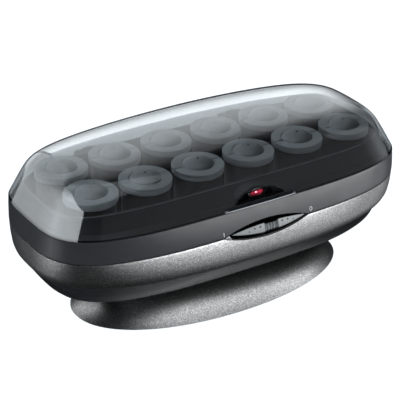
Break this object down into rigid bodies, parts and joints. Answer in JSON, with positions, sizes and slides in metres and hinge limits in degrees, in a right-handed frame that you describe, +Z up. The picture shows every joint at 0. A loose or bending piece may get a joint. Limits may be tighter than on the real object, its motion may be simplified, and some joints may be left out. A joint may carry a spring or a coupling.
{
  "type": "heated roller set",
  "caption": "Heated hair roller set: oval case on a flared pedestal, smoked dome lid hinged at the back, flocked rollers standing on heating posts in a deep tray.",
  "frame": {"origin": "on the table, below the middle of the case", "axes": "+X along the rows of rollers, -Y towards the user, +Z up"},
  "size_m": [0.327, 0.1608, 0.1453],
  "materials": {
    "speckled_silver": "fine metallic speckle, satin",
    "dark_grey_case": "dark grey, satin",
    "satin_grey_band": "dark grey, satin gloss",
    "black_plastic": "black, semi-gloss",
    "black_rubber": "matt",
    "aluminium": "rolled sheet",
    "ceramic": "matt white",
    "steel": "bright",
    "red_lens": "clear red, gloss",
    "switch_grey": "light grey, satin gloss",
    "smoked_clear": "smoked transparent plastic, high gloss",
    "post_grey": "dark grey, satin",
    "velvet": "short flock pile",
    "ring_grey": "mid grey, fine matt texture"
  },
  "bodies": {
    "case": {"pedestal_skirt": "speckled_silver", "lower_shell": "speckled_silver", "belly_pan": "dark_grey_case", "upper_band": "satin_grey_band", "base_plate": "black_plastic", "roller_tray": "black_plastic", "switch_bezel": "black_plastic", "switch_body": "black_plastic", "rubber_foot_front_left": "black_rubber", "rubber_foot_front_right": "black_rubber", "rubber_foot_rear_left": "black_rubber", "rubber_foot_rear_right": "black_rubber", "cord_inlet": "black_rubber", "heater_plate": "aluminium", "thermal_fuse": "aluminium", "heating_element": "ceramic", "indicator_lamp": "ceramic", "thermostat": "steel", "latch_catch": "steel", "hinge_pin_left": "steel", "hinge_pin_right": "steel", "indicator_lens": "red_lens", "heating_post_01": "post_grey", "heating_post_02": "post_grey", "heating_post_03": "post_grey", "heating_post_04": "post_grey", "heating_post_05": "post_grey", "heating_post_06": "post_grey", "heating_post_07": "post_grey", "heating_post_08": "post_grey", "heating_post_09": "post_grey", "heating_post_10": "post_grey", "heating_post_11": "post_grey", "heating_post_12": "post_grey"},
    "lid": {"lid_shell": "smoked_clear"},
    "power_slider": {"switch_slider": "switch_grey"},
    "roller_01": {"roller_01_barrel": "velvet", "roller_01_end_ring": "ring_grey"},
    "roller_02": {"roller_02_barrel": "velvet", "roller_02_end_ring": "ring_grey"},
    "roller_03": {"roller_03_barrel": "velvet", "roller_03_end_ring": "ring_grey"},
    "roller_04": {"roller_04_barrel": "velvet", "roller_04_end_ring": "ring_grey"},
    "roller_05": {"roller_05_barrel": "velvet", "roller_05_end_ring": "ring_grey"},
    "roller_06": {"roller_06_barrel": "velvet", "roller_06_end_ring": "ring_grey"},
    "roller_07": {"roller_07_barrel": "velvet", "roller_07_end_ring": "ring_grey"},
    "roller_08": {"roller_08_barrel": "velvet", "roller_08_end_ring": "ring_grey"},
    "roller_09": {"roller_09_barrel": "velvet", "roller_09_end_ring": "ring_grey"},
    "roller_10": {"roller_10_barrel": "velvet", "roller_10_end_ring": "ring_grey"},
    "roller_11": {"roller_11_barrel": "velvet", "roller_11_end_ring": "ring_grey"},
    "roller_12": {"roller_12_barrel": "velvet", "roller_12_end_ring": "ring_grey"}
  },
  "joints": [
    {"name": "lid_hinge", "type": "hinge", "parent": "case", "child": "lid", "pos_m": [0, 0.0754, 0.102], "axis": [-1, 0, 0], "range_deg": [0, 100]},
    {"name": "power_slide", "type": "slide", "parent": "case", "child": "power_slider", "axis": [1, 0, 0], "range_m": [-0.008, 0]},
    {"name": "roller_01_lift", "type": "slide", "parent": "case", "child": "roller_01", "axis": [0, 0, 1], "range_m": [0, 0.002]},
    {"name": "roller_02_lift", "type": "slide", "parent": "case", "child": "roller_02", "axis": [0, 0, 1], "range_m": [0, 0.002]},
    {"name": "roller_03_lift", "type": "slide", "parent": "case", "child": "roller_03", "axis": [0, 0, 1], "range_m": [0, 0.002]},
    {"name": "roller_04_lift", "type": "slide", "parent": "case", "child": "roller_04", "axis": [0, 0, 1], "range_m": [0, 0.002]},
    {"name": "roller_05_lift", "type": "slide", "parent": "case", "child": "roller_05", "axis": [0, 0, 1], "range_m": [0, 0.002]},
    {"name": "roller_06_lift", "type": "slide", "parent": "case", "child": "roller_06", "axis": [0, 0, 1], "range_m": [0, 0.002]},
    {"name": "roller_07_lift", "type": "slide", "parent": "case", "child": "roller_07", "axis": [0, 0, 1], "range_m": [0, 0.002]},
    {"name": "roller_08_lift", "type": "slide", "parent": "case", "child": "roller_08", "axis": [0, 0, 1], "range_m": [0, 0.002]},
    {"name": "roller_09_lift", "type": "slide", "parent": "case", "child": "roller_09", "axis": [0, 0, 1], "range_m": [0, 0.002]},
    {"name": "roller_10_lift", "type": "slide", "parent": "case", "child": "roller_10", "axis": [0, 0, 1], "range_m": [0, 0.002]},
    {"name": "roller_11_lift", "type": "slide", "parent": "case", "child": "roller_11", "axis": [0, 0, 1], "range_m": [0, 0.002]},
    {"name": "roller_12_lift", "type": "slide", "parent": "case", "child": "roller_12", "axis": [0, 0, 1], "range_m": [0, 0.002]}
  ]
}
